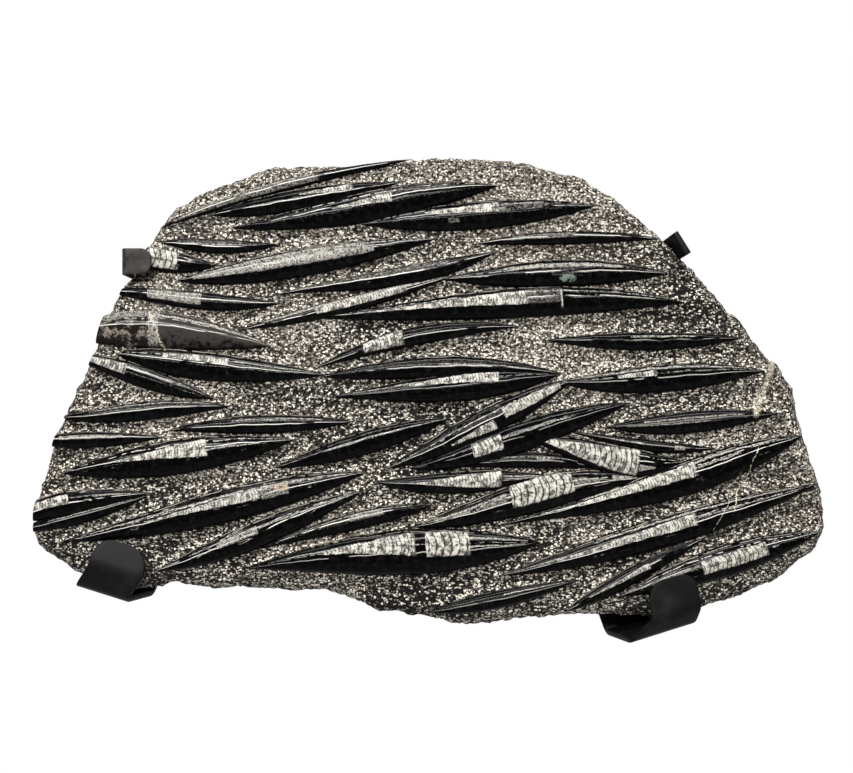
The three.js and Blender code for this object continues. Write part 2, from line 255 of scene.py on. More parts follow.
# %% The table of shells
SHELLS = [
    ((-203, 129), (-12, 181), (11, 0.45), (-2, 0.5),
     dict(bands=[(0.05, 0.64, 0.1, 0.5, 0.8, 0.45), (0.1, 0.62, 0.75, 0.12, 0.1, 0.8)], lines=0.8)),
    ((-165, 139), (-22, 164), (7.6, 0.45), (8.2, 0.45),
     dict(cones=[(0.47, 0.755, 0.40, 0.04, 0.40)], lines=0.4)),
    ((-150, 130), (51, 161), (11.5, 0.62), (12.4, 0.48),
     dict(cones=[(0.38, 0.61, 0.27, 0.03, 0.30)], bands=[(0.5, 0.85, 0.6, 0.3, 0.3, 0.3)], lines=0.5)),
    ((-52, 132), (125, 146), (10.5, 0.5), (11, 0.5),
     dict(cones=[(0.27, 0.59, 0.42, 0.08, 0.36)],
          bands=[(0.59, 0.8, 0.4, 0.36, 0.3, 0.35), (0.37, 0.42, -0.3, 0.22, 0.12, 0.35)],
          lines=0.3)),
    ((-203, 119), (-113, 117), (3, 0.4), (8, 0.5),
     dict(bands=[(0.15, 0.7, 0.45, 0.3, 0.3, 0.35), (0.2, 0.9, 0.2, 0.06, 0.05, 0.8)], lines=0.9)),
    ((-245, 108), (-160, 102), (9.5, 0.35), (9, 0.6),
     dict(cones=[(0.39, 0.67, 0.1, 0.8, 0.75)], lines=0.8)),
    ((-190, 90), (4, 121), (9.3, 0.52), (12.4, 0.44),
     dict(bands=[(0.06, 0.74, 0.3, 0.4, 0.55, 0.6), (0.715, 0.765, 0.15, 0.4, 0.3, 0.7),
                 (0.3, 0.66, 0.2, 0.2, 0.3, 0.75)], lines=0.7)),
    ((-245, 81), (-112, 73), (5.4, 0.35), (8.9, 0.6),
     dict(bands=[(0.25, 0.56, 0.15, 0.6, 0.6, 0.75), (0.56, 0.95, 0.1, 0.25, 0.1, 0.3)], lines=0.4)),
    ((-268, 45), (-119, 40), (24.5, 0.37), (4.5, 0.5),
     dict(bands=[(0.385, 0.435, 0.1, 1.0, 1.0, 0.6), (0.05, 0.42, 0.78, 0.22, 0.2, 0.55),
                 (0.42, 0.95, 0.72, 0.05, 0.1, 0.95)], lines=0.3, brown=1.0)),
    ((-118, 79), (50, 112), (2.6, 0.5), (12.3, 0.62),
     dict(bands=[(0.1, 0.8, 0.5, 0.3, 0.3, 0.4)], lines=0.6)),
    ((33, 117), (174, 121), (8, 0.48), (2, 0.5),
     dict(bands=[(0.19, 0.55, 0.35, 0.4, 0.4, 0.45)], lines=0.4)),
    ((9, 91), (180, 95), (12.6, 0.54), (8.5, 0.48),
     dict(bands=[(0.27, 0.8, 0.55, 0.15, 0.12, 0.75), (0.48, 0.58, 0.1, 0.3, 0.3, 0.25)], lines=0.4)),
    ((-142, 53), (18, 94), (4, 0.45), (8, 0.5),
     dict(cones=[(0.35, 0.78, 0.15, 0.45, 0.5)], bands=[(0.1, 0.98, 0.6, 0.15, 0.3, 0.8)], lines=0.6)),
    ((-95, 62), (192, 73), (16.5, 0.62), (6.6, 0.5),
     dict(cones=[(0.12, 0.59, 0.3, 0.03, 0.45)],
          bands=[(0.674, 0.679, 0.15, 0.6, 0.6, 0.95), (0.58, 0.68, 0.35, 0.5, 0.5, 0.35)], lines=0.4)),
    ((-235, 35), (-78, 19), (8.5, 0.38), (13.6, 0.42),
     dict(cones=[(0.22, 0.54, 0.45, 0.15, 0.22)],
          bands=[(0.5, 0.95, 0.5, 0.05, 0.05, 0.8)], lines=0.5)),
    ((-275, 34), (-162, 1), (9.6, 0.45), (7.6, 0.6),
     dict(cones=[(0.17, 0.42, 0.15, 0.4, 0.5)], bands=[(0.42, 0.95, 0.5, 0.06, 0.06, 0.7)], lines=0.5)),
    ((-277, -12), (-150, -5), (7.8, 0.58), (7.2, 0.36),
     dict(bands=[(0.15, 0.9, 0.5, 0.3, 0.3, 0.25), (0.2, 0.9, 0.7, 0.06, 0.06, 0.7)], lines=0.3)),
    ((-298, -31), (-200, -28), (5.8, 0.4), (6.2, 0.4),
     dict(bands=[(0.2, 0.7, 0.4, 0.25, 0.2, 0.7)], lines=0.4)),
    ((-197, -23), (-57, -16), (8.6, 0.48), (6, 0.58),
     dict(bands=[(0.34, 0.84, 0.5, 0.07, 0.07, 0.8)], lines=0.4)),
    ((-278, -55), (-102, -30), (13.3, 0.52), (13.5, 0.5),
     dict(cones=[(0.24, 0.64, 0.3, 0.04, 0.5)], bands=[(0.62, 0.86, 0.2, 0.05, 0.06, 0.8)], lines=0.5)),
    ((-85, 24), (68, 55), (16, 0.5), (-2, 0.5),
     dict(cones=[(0.24, 0.44, 0.1, 0.65, 0.8)], lines=0.3)),
    ((-82, 18), (98, 20), (14.2, 0.52), (3, 0.3),
     dict(bands=[(0.1, 0.8, 0.35, 0.3, 0.4, 0.2), (0.5, 0.9, 0.2, 0.07, 0.05, 0.8)], lines=0.3)),
    ((-80, 2), (97, 19), (9.5, 0.62), (12.8, 0.6),
     dict(cones=[(0.36, 0.75, 0.5, 0.05, 0.42)], bands=[(0.05, 0.42, 0.6, 0.06, 0.1, 0.6)], lines=0.1)),
    ((97, 14), (252, 22), (8.9, 0.55), (12.4, 0.45),
     dict(cones=[(0.28, 0.47, 0.4, 0.12, 0.22)],
          bands=[(0.05, 0.95, 0.75, 0.06, 0.06, 0.8)], lines=0.2)),
    ((86, 45), (236, 47), (5, 0.5), (8.8, 0.52),
     dict(bands=[(0.43, 0.76, 0.5, 0.1, 0.1, 0.75)], lines=0.1)),
    ((-118, -51), (15, -14), (8.8, 0.55), (9.3, 0.5),
     dict(bands=[(0.3, 0.95, 0.3, 0.07, 0.07, 0.6)], lines=0.2)),
    ((-35, -52), (108, 16), (10, 0.6), (12.5, 0.5),
     dict(cones=[(0.34, 0.575, -0.35, 0.06, 0.36), (0.625, 0.93, 0.0, 0.34, 0.5)], lines=0.5)),
    ((-15, -51), (150, -2), (10.3, 0.58), (13, 0.42),
     dict(cones=[(0.28, 0.42, 0.14, 0.5, 0.5)], bands=[(0.42, 0.74, 0.3, 0.06, 0.06, 0.7)], lines=0.1)),
    ((5, -50), (126, -51), (11, 0.6), (0.5, 0.5),
     dict(bands=[(0.62, 0.72, 0.3, 0.3, 0.3, 0.7), (0.4, 0.9, 0.5, 0.07, 0.07, 0.6)], lines=0.1)),
    ((70, -28), (192, -46), (6, 0.4), (18.5, 0.62),
     dict(cones=[(0.08, 0.72, 0.04, 0.35, 0.85)],
          bands=[(0.72, 0.82, -0.3, 0.25, 0.08, 0.75)], lines=0.4)),
    ((100, -23), (215, -36), (0.5, 0.4), (8.6, 0.6),
     dict(cones=[(0.3, 0.55, 0.3, 0.12, 0.12)], bands=[(0.73, 0.8, 0.1, 0.4, 0.4, 0.7)], lines=0.1)),
    ((134, -20), (262, -10), (7, 0.5), (9.9, 0.45),
     dict(bands=[(0.2, 0.8, 0.4, 0.08, 0.08, 0.75), (0.1, 0.6, 0.0, 0.05, 0.05, 0.6)], lines=0.1)),
    ((44, -96), (280, -26.5), (7.3, 0.75), (19, 0.61),
     dict(cones=[(0.16, 0.66, 0.42, 0.03, 0.42)],
          bands=[(0.6, 0.8, 0.45, 0.06, 0.06, 0.8), (0.3, 0.93, 0.75, 0.06, 0.05, 0.85)], lines=0.5)),
    ((-318, -92), (-210, -70), (14, 0.4), (4, 0.4),
     dict(cones=[(0.17, 0.46, 0.35, 0.3, 0.4)], bands=[(0.62, 0.9, 0.3, 0.08, 0.06, 0.7)], lines=0.8)),
    ((-318, -100), (-212, -72), (4, 0.5), (7.6, 0.5),
     dict(bands=[(0.3, 0.9, 0.4, 0.07, 0.07, 0.7)], lines=0.1)),
    ((-280, -107), (-47, -54), (11.5, 0.6), (13.7, 0.52),
     dict(cones=[(0.28, 0.66, 0.25, 0.03, 0.32)],
          bands=[(0.66, 0.75, 0.25, 0.4, 0.45, 0.55), (0.1, 0.95, 0.6, 0.05, 0.05, 0.8)], lines=0.6)),
    ((-206, -128), (-50, -68), (8, 0.55), (12, 0.45),
     dict(bands=[(0.3, 0.5, 0.35, 0.25, 0.3, 0.7), (0.5, 0.95, 0.4, 0.06, 0.06, 0.7)], lines=0.9)),
    ((-137, -114), (3, -79), (10, 0.6), (4, 0.65),
     dict(bands=[(0.55, 0.74, 0.4, 0.3, 0.35, 0.6), (0.2, 0.9, 0.65, 0.06, 0.06, 0.6)], lines=0.5)),
    ((-140, -127), (83, -107), (18.8, 0.53), (15.8, 0.62),
     dict(cones=[(0.27, 0.585, 0.38, 0.08, 0.5), (0.615, 0.765, 0.32, 0.52, 0.6)],
          bands=[(0.76, 0.96, 0.6, 0.07, 0.07, 0.85), (0.76, 0.95, 0.12, 0.05, 0.06, 0.85),
                 (0.15, 0.4, 0.5, 0.05, 0.05, 0.6)], lines=0.2)),
    ((-42, -61), (88, -57), (6, 0.6), (11.5, 0.47),
     dict(cones=[(0.2, 0.74, 0.1, 0.03, 0.82)],
          bands=[(0.74, 0.99, 0.35, 0.1, 0.1, 0.9), (0.74, 0.99, -0.1, 0.06, 0.06, 0.8)], lines=0.2)),
    ((-14, -95), (162, -58.5), (17.8, 0.6), (9.2, 0.42),
     dict(cones=[(0.43, 0.7, 0.3, 0.7, 0.6)],
          bands=[(0.7, 0.82, 0.2, 0.4, 0.1, 0.5), (0.1, 0.42, 0.3, 0.2, 0.3, 0.5),
                 (0.86, 0.96, 0.2, 0.3, 0.3, 0.8)], lines=0.9)),
    ((52, -132), (291, -63), (9.2, 0.56), (14.3, 0.5),
     dict(cones=[(0.12, 0.62, 0.25, 0.03, 0.40)],
          bands=[(0.3, 0.96, 0.75, 0.05, 0.05, 0.85), (0.62, 0.95, 0.3, 0.06, 0.05, 0.7)], lines=0.6)),
    ((103, -158), (208, -103), (7.2, 0.48), (6.2, 0.4),
     dict(cones=[(0.24, 0.6, 0.15, 0.04, 0.34)], bands=[(0.16, 0.6, 0.3, 0.1, 0.1, 0.8)], lines=0.4)),
    ((140, -149), (293, -99), (13, 0.52), (10.8, 0.56),
     dict(cones=[(0.42, 0.74, 0.1, 0.42, 0.5)], bands=[(0.1, 0.42, 0.3, 0.07, 0.1, 0.7)], lines=0.7)),
    ((0, -159), (111, -135), (5, 0.42), (8.6, 0.45),
     dict(bands=[(0.5, 0.92, 0.5, 0.07, 0.06, 0.9), (0.2, 0.45, 0.1, 0.1, 0.1, 0.3)], lines=0.1)),
]
SHELL_FOOT = -48.3  # the level at which a shell's sides stand upright, in mm
SHELL_HEIGHT = 7.0  # the most that a shell rises above its foot
STEEPNESS = 0.42  # the rise of a narrow shell against its width
FULLNESS = 0.82  # below 1, the sides stay full almost to the points
print(len(SHELLS), "shells")


# %% A shell's sides
def swell(t, peak):
    """How full a shell's side is at t along it: nothing at the points, 1 at the peak."""
    wave = np.sin(np.pi * np.power(np.clip(t, 0, 1), math.log(0.5) / math.log(peak)))
    return np.power(np.maximum(wave, 0), FULLNESS)


class Spindle:
    """The plan of one shell on the face of the stone, in mm."""

    def __init__(self, left, right, upper, lower, marks):
        self.left = np.array(left, float)
        line = np.array(right, float) - self.left
        self.length = float(np.hypot(*line))
        self.along = line / self.length
        self.across = np.array((-self.along[1], self.along[0]))
        self.upper, self.lower, self.marks = upper, lower, marks

    def sides(self, t):
        """How far the upper and the lower side lie from the line between the points."""
        return self.upper[0] * swell(t, self.upper[1]), -self.lower[0] * swell(t, self.lower[1])

    def height(self, t):
        """How far the crest rises above the foot. A wide shell is flatter than a narrow one."""
        top, bottom = self.sides(t)
        return SHELL_HEIGHT * np.tanh(STEEPNESS * (top - bottom) / SHELL_HEIGHT)

    def gap(self, points):
        """How far each [x, z] point lies outside the shell's plan. Inside, it is below nothing."""
        seen = points - self.left
        a, b = seen @ self.along, seen @ self.across
        top, bottom = self.sides(a / self.length)
        beyond = np.maximum(np.maximum(-a, a - self.length), 0)
        beside = np.maximum(b - top, bottom - b)
        return np.where(beyond > 0, np.hypot(beyond, np.maximum(beside, 0)), beside)


spindles = [Spindle(*row) for row in SHELLS]
print("Longest shell:", round(max(s.length for s in spindles)), "mm")

# %% [markdown]
# ## The outline of the stone
# The slab is a broken piece, so its edge is never smooth. The outline is a short list of corners.
# It is walked in small steps, and a noise pushes each step in or out by up to a millimetre or two.

# %% Outline
OUTLINE = [
    (-259, 24), (-252, 41), (-250, 50), (-243, 64), (-232, 87), (-225, 93), (-222, 100), (-213, 116),
    (-205, 128), (-195, 143), (-178, 154), (-150, 165), (-125, 175), (-95, 177.5), (-60, 176),
    (-15, 181.5), (5, 183), (45, 183.5), (78, 178), (112, 169), (138, 155), (155, 140), (172, 125),
    (186, 111), (200, 98), (214, 80), (235, 60), (252, 36), (266, 23), (275, 8), (280, -15),
    (288, -42), (297, -70), (300, -96), (292, -112), (277, -124), (262, -137), (229, -150),
    (203, -158), (195, -161.8), (176, -168), (168, -164), (127, -162), (97, -163), (67, -165),
    (37, -170), (22, -169.5), (0, -164), (-37, -160), (-60, -150), (-80, -144), (-100, -145),
    (-140, -141), (-167, -142), (-195, -138), (-210, -141), (-222, -143), (-230.4, -144.7),
    (-259, -135.7), (-266, -131), (-284, -120), (-297, -109), (-300, -97), (-298, -82), (-289, -47),
    (-281, -23), (-268, 8),
]
EDGE_STEP = 2.0
COARSE_BREAKS, FINE_BREAKS = (1.5, 11), (0.9, 3.7)  # how far a break pushes the edge, and its width


def broken_edge(corners, step):
    """The outline walked in small rough steps, and the outward direction at each of them."""
    walked = []
    for (x0, z0), (x1, z1) in zip(corners, corners[1:] + corners[:1]):
        count = max(1, round(math.hypot(x1 - x0, z1 - z0) / step))
        walked += [(x0 + (x1 - x0) * i / count, z0 + (z1 - z0) * i / count) for i in range(count)]
    walked = np.array(walked)
    tangent = np.roll(walked, -3, 0) - np.roll(walked, 3, 0)
    outward = np.column_stack((-tangent[:, 1], tangent[:, 0]))
    outward /= np.linalg.norm(outward, axis=1)[:, None]
    push = np.full(len(walked), -0.4)
    for (depth, width), layer in ((COARSE_BREAKS, 3), (FINE_BREAKS, 7)):
        push += [depth * noise.noise((x / width, z / width, layer)) for x, z in walked]
    return walked + outward * push[:, None], outward


edge, edge_outward = broken_edge(OUTLINE, EDGE_STEP)
print("Edge steps:", len(edge))


# %% Where a point lies against the edge
def nearest_edge(points):
    """For each [x, z], how far inside the edge it lies, the nearest edge point and the way out."""
    start, run = edge, np.roll(edge, -1, 0) - edge
    best = np.full(len(points), 1e9)
    spot, out = np.zeros_like(points), np.zeros_like(points)
    for i in range(len(start)):
        seen = points - start[i]
        share = np.clip(seen @ run[i] / (run[i] @ run[i]), 0, 1)
        near = start[i] + share[:, None] * run[i]
        far = np.hypot(*(points - near).T)
        closer = far < best
        best[closer], spot[closer], out[closer] = far[closer], near[closer], edge_outward[i]
    return np.where(inside_edge(points), best, -best), spot, out


def inside_edge(points):
    """True for each [x, z] point inside the outline, by counting the sides that a ray crosses."""
    crossings = np.zeros(len(points), int)
    for (x0, z0), (x1, z1) in zip(edge, np.roll(edge, -1, 0)):
        if z0 != z1:
            spans = (points[:, 1] > min(z0, z1)) & (points[:, 1] <= max(z0, z1))
            crossings += spans & (points[:, 0] < x0 + (points[:, 1] - z0) * (x1 - x0) / (z1 - z0))
    return crossings % 2 == 1


print("Inside the edge at the middle:", bool(inside_edge(np.array([[0.0, 0.0]]))[0]))

# %% [markdown]
# ## Modelling the rock
# The rock's face is a fine grid. Faces outside the outline are deleted and the ragged rim is drawn
# to the outline. Then the rim is extruded backwards in rings for the broken sides, and the last ring
# is filled to make the sawn back. Only after that is the grid pushed in and out: it rises towards
# every shell, as pecked rock does, and is dented all over.

# %% Rock: cut the grid to the outline
GRID = 1.5
ROCK_LEVEL = -44.2
SIDE_RINGS = [  # how far a ring of the broken side lies outside the outline, and its level
    (0.5, -38.6), (0.9, -35.5), (0.2, -31), (-0.8, -26), (-0.6, -21), (-1.6, -16), (-2.4, -12.4),
    (-3.8, -10.6),
]
HALF_SIZE = (306.0, 190.0)  # half the grid's width and height, a little more than the stone's


def cut_grid():
    """A flat grid in X and Y with its rim drawn to the edge of the stone."""
    bm = bmesh.new()
    columns, rows = (round(2 * half / GRID) for half in HALF_SIZE)
    bmesh.ops.create_grid(bm, x_segments=columns, y_segments=rows, size=1)
    bmesh.ops.transform(bm, matrix=Matrix.Diagonal((*HALF_SIZE, 1, 1)), verts=bm.verts)
    centres = np.array([f.calc_center_median()[:2] for f in bm.faces])
    kept = inside_edge(centres)
    outside = [f for f, keep in zip(bm.faces, kept) if not keep]
    bmesh.ops.delete(bm, geom=outside, context="FACES")
    rim = [v for v in bm.verts if v.is_boundary]
    _, spots, _ = nearest_edge(np.array([v.co[:2] for v in rim]))
    for vert, spot in zip(rim, spots):
        vert.co.x, vert.co.y = spot
    bmesh.ops.remove_doubles(bm, verts=rim, dist=0.35)
    bmesh.ops.dissolve_degenerate(bm, edges=bm.edges, dist=0.02)
    return bm


rock = cut_grid()
print("Rock face:", len(rock.faces), "faces,", sum(e.is_boundary for e in rock.edges), "rim edges")

# %% Rock: stand it up, extrude the sides and fill the back
upright = Matrix.Rotation(math.radians(90), 3, "X")
bmesh.ops.rotate(rock, verts=rock.verts, cent=(0, 0, 0), matrix=upright)
bmesh.ops.translate(rock, verts=rock.verts, vec=(0, ROCK_LEVEL, 0))


def add_sides(bm):
    """Extrudes the rim backwards ring by ring and fills the last ring."""
    rim_edges = [e for e in bm.edges if e.is_boundary]
    for offset, level in SIDE_RINGS:
        made = bmesh.ops.extrude_edge_only(bm, edges=rim_edges)["geom"]
        ring = [g for g in made if isinstance(g, bmesh.types.BMVert)]
        rim_edges = [g for g in made if isinstance(g, bmesh.types.BMEdge) and g.is_boundary]
        points = np.array([(v.co.x, v.co.z) for v in ring])
        _, spots, outward = nearest_edge(points)
        for vert, spot, out in zip(ring, spots, outward):
            spot = spot + out * offset
            vert.co = (spot[0], level, spot[1])
    bmesh.ops.contextual_create(bm, geom=rim_edges)
    bmesh.ops.recalc_face_normals(bm, faces=bm.faces)


add_sides(rock)
print("Rock closed:", all(e.is_manifold for e in rock.edges), "with", len(rock.faces), "faces")


# %% Rock: raise it to the shells and peck it
def smooth(value, low, high):
    """0 below low and 1 above high, smooth between."""
    share = np.clip((value - low) / (high - low), 0, 1)
    return share * share * (3 - 2 * share)


RISE, RISE_REACH = 4.2, 7.5  # how far the rock rises towards a shell, and over what distance
TUCK = 1.6  # how far the rock dips under a shell
WORN_EDGE = (3.6, 8), (1.4, 2)  # how far the face is worn back at its edge, and over what width


def shape_rock(bm):
    """Shapes the face and chips the sides. Returns how far each vertex lies from a shell."""
    places = np.array([v.co for v in bm.verts])
    plan = places[:, [0, 2]]
    gap = np.min([s.gap(plan) for s in spindles], axis=0)
    inside, _, outward = nearest_edge(plan)
    face = places[:, 1] <= ROCK_LEVEL + 0.01
    open_ground = smooth(gap, 0.4, 5)
    bumps = [noise.noise(Vector(p) / 17) + 0.6 * noise.noise(Vector(p) / 6.5) for p in places]
    bumps = np.array(bumps)
    pecks = np.array([noise.noise(Vector(p) / 2.6) for p in places])
    (broad, broad_width), (sharp, sharp_width) = WORN_EDGE
    rise = RISE * np.exp(-np.maximum(gap, 0) / RISE_REACH) - TUCK * smooth(-gap, 0, 2.5)
    rise += bumps * (0.15 + 1.5 * open_ground) + pecks * (0.1 + 0.9 * open_ground)
    rise -= broad * smooth(-inside, -broad_width, 0) ** 2 + sharp * smooth(-inside, -sharp_width, 0)
    places[face, 1] -= rise[face]
    chips = 1.5 * bumps + 0.9 * pecks
    side = ~face & (places[:, 1] < SIDE_RINGS[-1][1] - 0.1)
    places[side, 0] += outward[side, 0] * chips[side]
    places[side, 2] += outward[side, 1] * chips[side]
    for vert, place in zip(bm.verts, places):
        vert.co = place
    return gap


shell_gap = shape_rock(rock)
print("Rock face from", round(min(v.co.y for v in rock.verts), 1), "mm")


# %% Rock: make the object
SMOOTH_TO = 38  # degrees; a sharper edge than this is drawn sharp


def keep(name, bm, finish, slot, replaces=(), smooth_to=SMOOTH_TO):
    """Turns a bmesh in millimetres into a piece of the object that rides on its one body."""
    bmesh.ops.scale(bm, vec=(MM, MM, MM), verts=bm.verts)
    mesh = bpy.data.meshes.new(name)
    bm.to_mesh(mesh)
    bm.free()
    for polygon in mesh.polygons:
        polygon.use_smooth = True
    mesh.set_sharp_from_angle(angle=math.radians(smooth_to))
    mesh.materials.append(finish)
    piece = bpy.data.objects.new(name, mesh)
    bpy.context.scene.collection.objects.link(piece)
    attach(piece, "root")
    if replaces:
        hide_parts(*replaces)
    return piece


def set_attribute(mesh, name, values):
    """Stores one number or one vector for each vertex."""
    kind, field = ("FLOAT", "value") if values.ndim == 1 else ("FLOAT_VECTOR", "vector")
    stored = mesh.attributes.new(name, kind, "POINT")
    stored.data.foreach_set(field, values.astype(np.float32).ravel())


print("Piece helpers ready")

# %% [markdown]
# ## The rock's finish
# Pecked limestone breaks into bright crystals on a dark brown-black ground. Small Voronoi cells are
# the crystals: each cell has its own random brightness, and a slow noise decides how many of them
# are pale. A second layer of cells is stretched, as the strokes of the carver's point are. The same
# cells and a fine noise make the bumps, so light catches each grain. The back is sawn: there the
# crystals are cut flat and the saw has left faint lines. A picture of stone could be wrapped round
# the slab instead, but it would smear on the broken sides, and these grains run through all of it.

# %% Rock finish: veins
VEINS = [  # from, to, half width in mm and strength; each is a crack healed with calcite
    ((262, 36), (243, -14), 3.6, 0.85),
    ((246, -34), (226, -84), 0.5, 0.85),
    ((233, -52), (212, -100), 0.35, 0.6),
    ((-211, 67), (-198, 36), 1.6, 0.7),
    ((-104, -112), (32, -83), 1.2, 0.35),
    ((-66, -148), (-38, -137), 1.3, 0.35),
]
CALCITE = (0.58, 0.53, 0.40, 1)


def veined(f, place, colour, broken):
    """Draws the veins over a colour. Each is a straight run, frayed by the noise broken."""
    x, z = (f.times(f.parts(place)[axis], 1 / MM) for axis in ("X", "Z"))
    fray = f.times(f.minus(broken, 0.5), 3.0)
    wander = f.times(f.minus(f.noise(place, 60, 3, 0.6), 0.5), 9.0)
    for (x0, z0), (x1, z1), half, strength in VEINS:
        length = math.hypot(x1 - x0, z1 - z0)
        ax, az = (x1 - x0) / length, (z1 - z0) / length
        east, north = f.minus(x, x0), f.minus(z, z0)
        along = f.plus(f.times(east, ax), f.times(north, az))
        across = f.minus(f.times(north, ax), f.times(east, az))
        away = f.maths("ABSOLUTE", f.plus(across, wander))
        beside = f.step(f.plus(away, f.times(fray, half + 0.4)), half, half * 0.5 - 0.2)
        ends = f.times(f.step(along, 0, 4), f.step(along, length, length - 4))
        mask = f.times(beside, ends, strength)
        if half > 1:
            mask = f.times(mask, f.step(broken, 0.44, 0.54))
        colour = f.blend(mask, colour, CALCITE)
    return colour


print(len(VEINS), "veins")

# %% Rock finish: where the crystals crowd
DRIFTS = [  # place, reach in mm and strength: where crystals crowd, or are few below 0
    ((-190, 68), 55, 0.22),
    ((-190, -20), 55, 0.24),
    ((75, 112), 80, 0.16),
    ((105, 25), 90, 0.14),
    ((-80, -112), 75, 0.16),
    ((-105, 50), 50, 0.16),
    ((-30, 62), 50, -0.16),
    ((0, -25), 70, -0.18),
    ((-190, 25), 35, -0.15),
    ((195, 68), 60, -0.18),
    ((-20, -160), 90, -0.16),
]


def drifted(f, place, slow):
    """How much the drifts add at a place, broken up by the noise slow."""
    added = 0.0
    for spot, reach, strength in DRIFTS:
        added = f.plus(added, f.times(f.near(place, spot, reach), strength))
    return f.times(added, f.plus(0.3, f.times(slow, 1.4)))


print(len(DRIFTS), "drifts")

# %% Rock finish: the ground and the sawn back
GROUND_BLACK, GROUND_BROWN = (0.002, 0.0019, 0.0018, 1), (0.11, 0.094, 0.077, 1)
GROUND_TAN = (0.22, 0.19, 0.155, 1)
SAWN_DARK, SAWN_DUSTY = (0.035, 0.032, 0.029, 1), (0.085, 0.078, 0.070, 1)


def ground_colour(f, place, turned, slow, drifts):
    """Black to brown between the crystals, and tan at the top and at the right edge."""
    east, height = (f.parts(place)[axis] for axis in ("X", "Z"))
    earthy = f.plus(f.noise(turned, 520, 3, 0.65), f.times(f.step(height, -0.16, 0.14), 0.05))
    earthy = f.plus(earthy, f.times(drifts, 0.5))
    ground = f.blend(f.step(earthy, 0.50, 0.72), GROUND_BLACK, GROUND_BROWN)
    tan = f.plus(f.step(height, 0.10, 0.18), f.step(east, 0.20, 0.27))
    tan = f.maths("MAXIMUM", tan, f.step(slow, 0.55, 0.72))
    tan = f.times(tan, f.step(earthy, 0.50, 0.60))
    return f.blend(f.maths("MULTIPLY", tan, 0.6, clamp=True), ground, GROUND_TAN)


def sawn_colour(f, place, crystals, cream):
    """Dusty and faintly lined, with the crystals cut flat."""
    level = f.node("ShaderNodeMapping", {"Vector": place, "Scale": (3, 1, 220)})
    saw_marks = f.noise(level.outputs["Vector"], 1.0, 3)
    dusty = f.plus(f.times(saw_marks, 0.6), f.times(f.noise(place, 30, 4, 0.6), 0.6))
    sawn = f.blend(f.step(dusty, 0.45, 0.75), SAWN_DARK, SAWN_DUSTY)
    return f.blend(f.times(crystals, 0.35), sawn, cream)


print("Ground and back ready")

# %% Rock finish: the crystals
CRYSTAL_CELLS, STROKE_CELLS = 530.0, 760.0  # cells in a metre
CELL_LIMIT, STROKE_LIMIT = 1.07, 1.09  # how crowded a cell must be before it shows
CRYSTAL_DULL, CRYSTAL_BRIGHT = (0.15, 0.127, 0.10, 1), (0.72, 0.67, 0.58, 1)
# The pits' dark colour is painted shade.
PIT_PAINTED_SHADE = (0.004, 0.0036, 0.0032, 1)


def pecked_limestone():
    f = Finish("pecked_limestone")
    place = f.place()
    turned = f.node("ShaderNodeMapping", {"Vector": place, "Rotation": (0.5, 0.3, 0.7)})
    turned = turned.outputs["Vector"]
    cells = f.node("ShaderNodeTexVoronoi", {"Vector": place, "Scale": CRYSTAL_CELLS})
    slanted = f.node("ShaderNodeMapping", {"Vector": place, "Scale": (0.4, 1, 1)})
    slanted.inputs["Rotation"].default_value = (0, math.radians(32), 0)
    strokes = {"Vector": slanted.outputs["Vector"], "Scale": STROKE_CELLS}
    strokes = f.node("ShaderNodeTexVoronoi", strokes)

    # How thickly the crystals lie: more of them close to a shell and high up, and in drifts.
    slow = f.noise(place, 22, 3)
    drifts = drifted(f, place, slow)
    close = f.times(f.step(f.attribute("shell_gap", "Fac"), 12, 1), 0.14)
    high = f.times(f.step(f.parts(place)["Z"], -0.16, 0.16), 0.03)
    crowd = f.plus(close, slow, high, drifts)

    # The crystals, with ragged rims, and the pits that the carver's point leaves.
    shade = f.noise(turned, 1100, 3, 0.6)
    crystals = 0.0
    for layer, limit in ((cells, CELL_LIMIT), (strokes, STROKE_LIMIT)):
        chance = f.parts(layer.outputs["Color"])["X"]
        chosen = f.step(f.plus(chance, crowd), limit, limit + 0.12)
        ragged = f.plus(layer.outputs["Distance"], f.times(f.minus(shade, 0.5), 0.7))
        crystals = f.maths("MAXIMUM", crystals, f.times(chosen, f.step(ragged, 0.58, 0.40)))
    tone = f.plus(f.times(f.parts(cells.outputs["Color"])["Y"], 0.6), f.times(shade, 0.6))
    cream = f.blend(f.step(tone, 0.25, 0.80), CRYSTAL_DULL, CRYSTAL_BRIGHT)
    colour = f.blend(crystals, ground_colour(f, place, turned, slow, drifts), cream)
    # The pits are darkened with painted shade, and dented in the bump below.
    pits = f.step(f.noise(turned, 560, 3, 0.6), 0.48, 0.40)
    colour = f.blend(f.times(pits, 0.92), colour, PIT_PAINTED_SHADE)
    colour = veined(f, place, colour, shade)

    # The back is where the surface faces the wall.
    back = f.step(f.parts(f.node("ShaderNodeTexCoord").outputs["Normal"])["Y"], 0.80, 0.95)
    colour = f.blend(back, colour, sawn_colour(f, place, crystals, cream))
    f.plug(f.shader.inputs["Base Color"], colour)
    f.plug(f.shader.inputs["Roughness"], f.minus(0.9, f.times(crystals, 0.35)))
    f.shader.inputs["Specular IOR Level"].default_value = 0.2
    relief = f.plus(f.times(cells.outputs["Distance"], -0.5), shade, f.times(crystals, 0.35))
    relief = f.minus(relief, f.times(pits, 0.4))
    relief = f.times(relief, f.minus(1.0, f.times(back, 0.85)))
    f.bump(relief, 1.1, 0.9)
    return f.material


rock_finish = pecked_limestone()
rock_piece = keep("fossil_rock", rock, rock_finish, "fossil_limestone", ["fossil_slab"])
set_attribute(rock_piece.data, "shell_gap", shell_gap)
print("Rock piece:", len(rock_piece.data.polygons), "faces")

# %% [markdown]
# ## Modelling the shells
# A sphere already has what a spindle needs: a closed skin, two poles for the points and rings in
# between. So each shell starts as a sphere, and its rings are slid along the shell and stretched to
# its width and height. A shell that runs past the broken edge of the stone is cut off there. Each
# vertex also stores where it lies on its shell and where that shell's marks are, for the finish.

